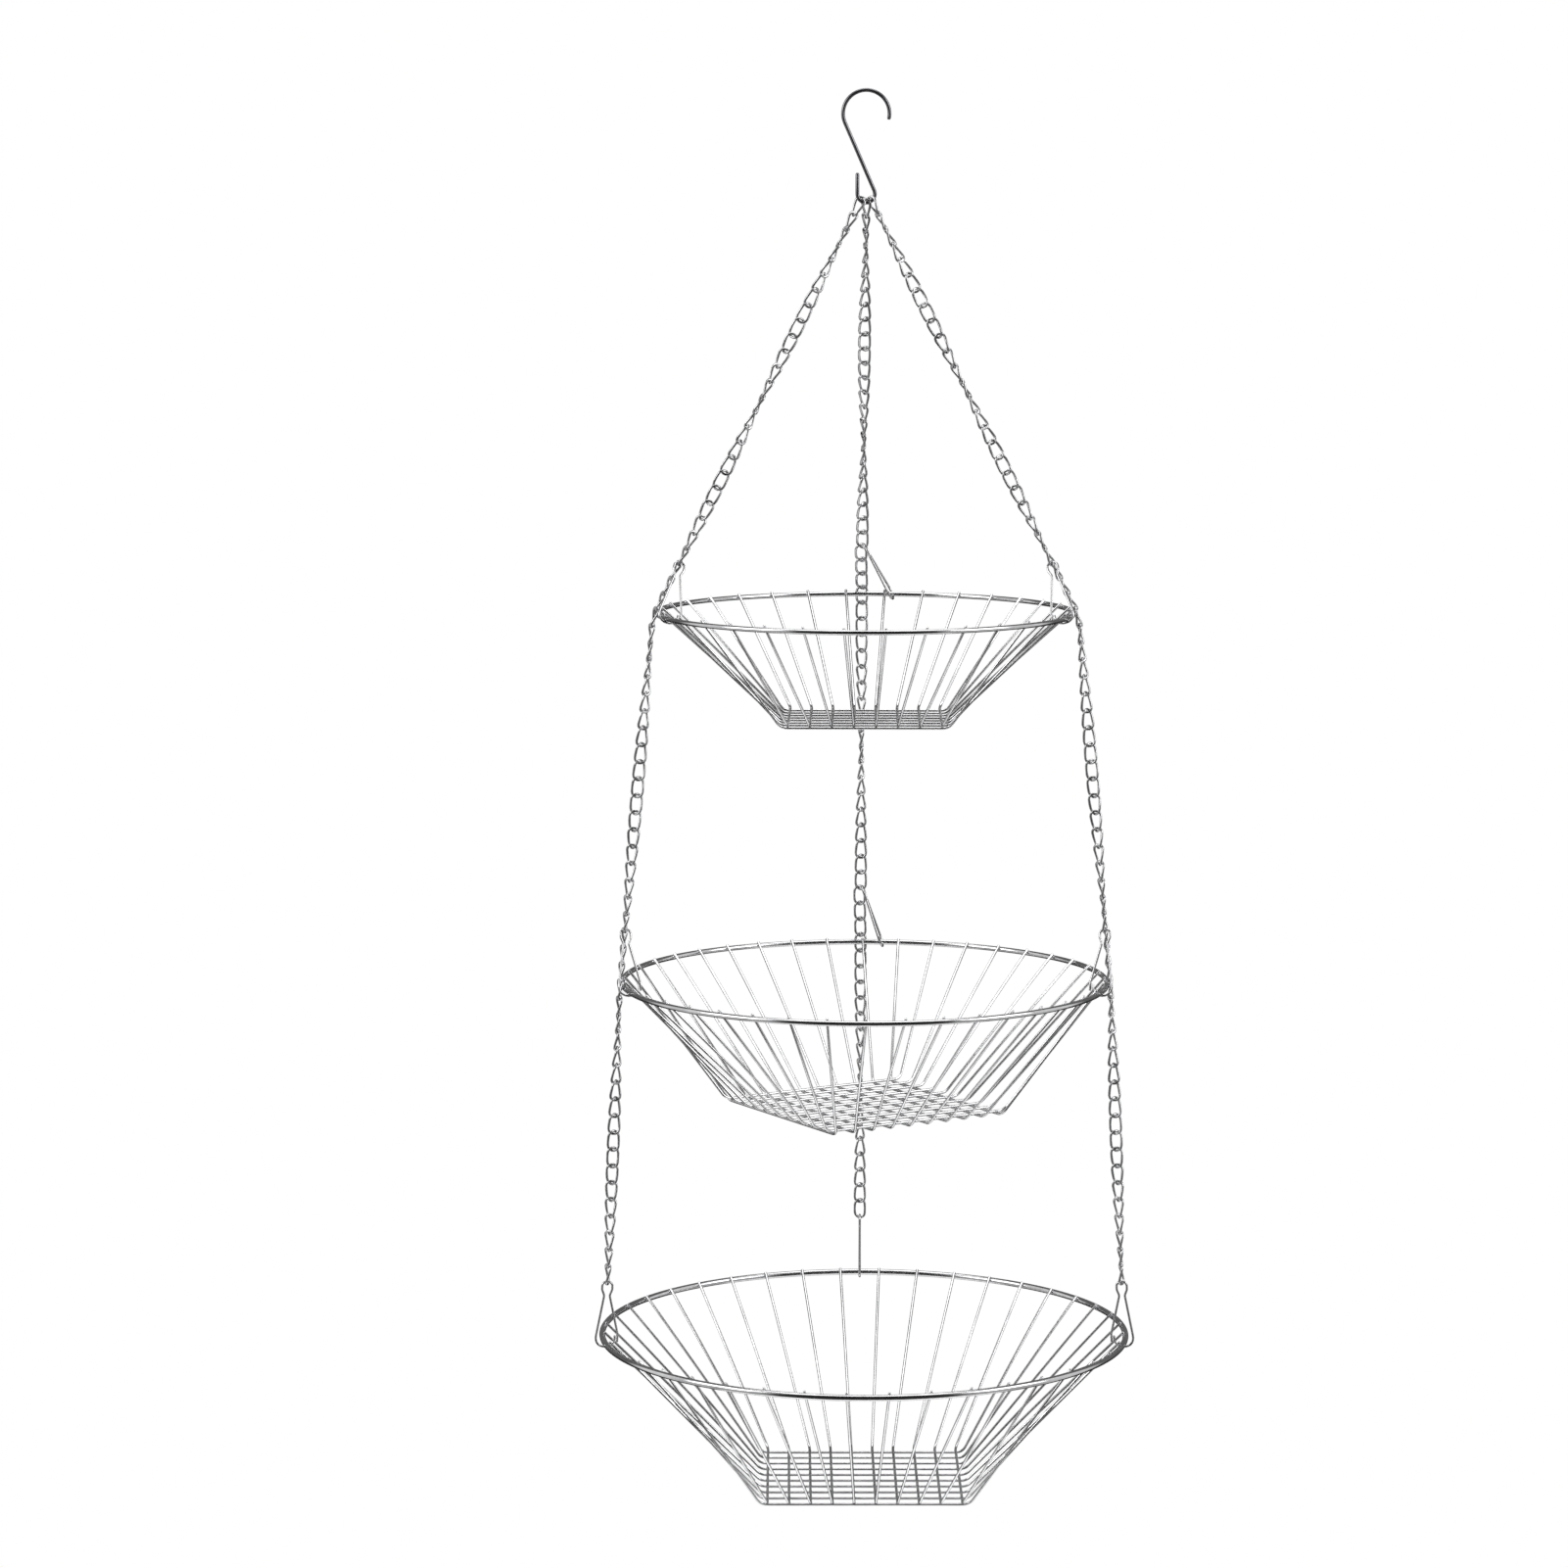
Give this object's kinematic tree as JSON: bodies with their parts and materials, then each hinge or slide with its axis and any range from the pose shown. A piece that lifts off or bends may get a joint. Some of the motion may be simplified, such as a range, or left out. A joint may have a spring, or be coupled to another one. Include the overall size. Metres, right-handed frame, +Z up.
{
  "type": "hanging fruit basket",
  "caption": "Three-tier hanging fruit basket of bare wire: round baskets clipped to chains below an S-hook.",
  "frame": {"origin": "highest point inside the S-hook's eye, where the ceiling hook bears", "axes": "+Z up, +X to the right and -Y to the front as pictured"},
  "size_m": [0.2832, 0.2838, 0.7327],
  "materials": {
    "hook_chrome": "dark bright chrome",
    "chain_chrome": "bright chrome",
    "clip_chrome": "bright chrome",
    "rim_chrome": "polished chrome",
    "wire_chrome": "polished chrome"
  },
  "bodies": {
    "hook": {"s_hook": "hook_chrome"},
    "top_tier": {"first_link_left": "chain_chrome", "first_link_right": "chain_chrome", "first_link_back": "chain_chrome", "top_chain_left": "chain_chrome", "top_chain_right": "chain_chrome", "top_chain_back": "chain_chrome", "top_clip_left": "clip_chrome", "top_clip_right": "clip_chrome", "top_clip_back": "clip_chrome", "top_rim": "rim_chrome", "top_lengthwise_wires": "wire_chrome", "top_crosswise_wires": "wire_chrome"},
    "middle_chain_left": {"middle_chain_left": "chain_chrome"},
    "middle_chain_right": {"middle_chain_right": "chain_chrome"},
    "middle_chain_back": {"middle_chain_back": "chain_chrome"},
    "middle_tier": {"middle_rim_links_left": "chain_chrome", "middle_rim_links_right": "chain_chrome", "middle_rim_links_back": "chain_chrome", "middle_clip_left": "clip_chrome", "middle_clip_right": "clip_chrome", "middle_clip_back": "clip_chrome", "middle_rim": "rim_chrome", "middle_lengthwise_wires": "wire_chrome", "middle_crosswise_wires": "wire_chrome"},
    "bottom_chain_left": {"bottom_chain_left": "chain_chrome"},
    "bottom_chain_right": {"bottom_chain_right": "chain_chrome"},
    "bottom_chain_back": {"bottom_chain_back": "chain_chrome"},
    "bottom_tier": {"bottom_clip_left": "clip_chrome", "bottom_clip_right": "clip_chrome", "bottom_clip_back": "clip_chrome", "bottom_rim": "rim_chrome", "bottom_lengthwise_wires": "wire_chrome", "bottom_crosswise_wires": "wire_chrome"}
  },
  "joints": [
    {"name": "sway", "type": "hinge", "parent": "hook", "child": "top_tier", "pos_m": [0, 0, -0.0518], "axis": [0, 1, 0], "range_deg": [-12, 12]},
    {"name": "middle_swing", "type": "hinge", "parent": "top_tier", "child": "middle_chain_left", "pos_m": [-0.11033, -0.01946, -0.27282], "axis": [0, 1, 0], "range_deg": [-8, 8]},
    {"name": "middle_swing_right", "type": "hinge", "parent": "top_tier", "child": "middle_chain_right", "pos_m": [0.11033, -0.01946, -0.27282], "axis": [0, 1, 0], "range_deg": [-8, 8]},
    {"name": "middle_swing_back", "type": "hinge", "parent": "top_tier", "child": "middle_chain_back", "pos_m": [0, 0.11206, -0.27281], "axis": [0, 1, 0], "range_deg": [-8, 8]},
    {"name": "middle_level", "type": "hinge", "parent": "middle_chain_left", "child": "middle_tier", "pos_m": [-0.12403, -0.02187, -0.42282], "axis": [0, 1, 0], "range_deg": [-8, 8]},
    {"name": "bottom_swing", "type": "hinge", "parent": "middle_tier", "child": "bottom_chain_left", "pos_m": [-0.12789, -0.02255, -0.46709], "axis": [0, 1, 0], "range_deg": [-8, 8]},
    {"name": "bottom_swing_right", "type": "hinge", "parent": "middle_tier", "child": "bottom_chain_right", "pos_m": [0.12789, -0.02255, -0.46709], "axis": [0, 1, 0], "range_deg": [-8, 8]},
    {"name": "bottom_swing_back", "type": "hinge", "parent": "middle_tier", "child": "bottom_chain_back", "pos_m": [0, 0.12986, -0.46709], "axis": [0, 1, 0], "range_deg": [-8, 8]},
    {"name": "bottom_level", "type": "hinge", "parent": "bottom_chain_left", "child": "bottom_tier", "pos_m": [-0.13475, -0.02376, -0.61901], "axis": [0, 1, 0], "range_deg": [-8, 8]}
  ],
  "couplings": [
    {"joint": "middle_swing_right", "follows": "middle_swing", "ratio": 1},
    {"joint": "middle_swing_back", "follows": "middle_swing", "ratio": 1},
    {"joint": "middle_level", "follows": "middle_swing", "ratio": -0.8895},
    {"joint": "bottom_swing_right", "follows": "bottom_swing", "ratio": 1},
    {"joint": "bottom_swing_back", "follows": "bottom_swing", "ratio": 1},
    {"joint": "bottom_level", "follows": "bottom_swing", "ratio": -0.949}
  ]
}
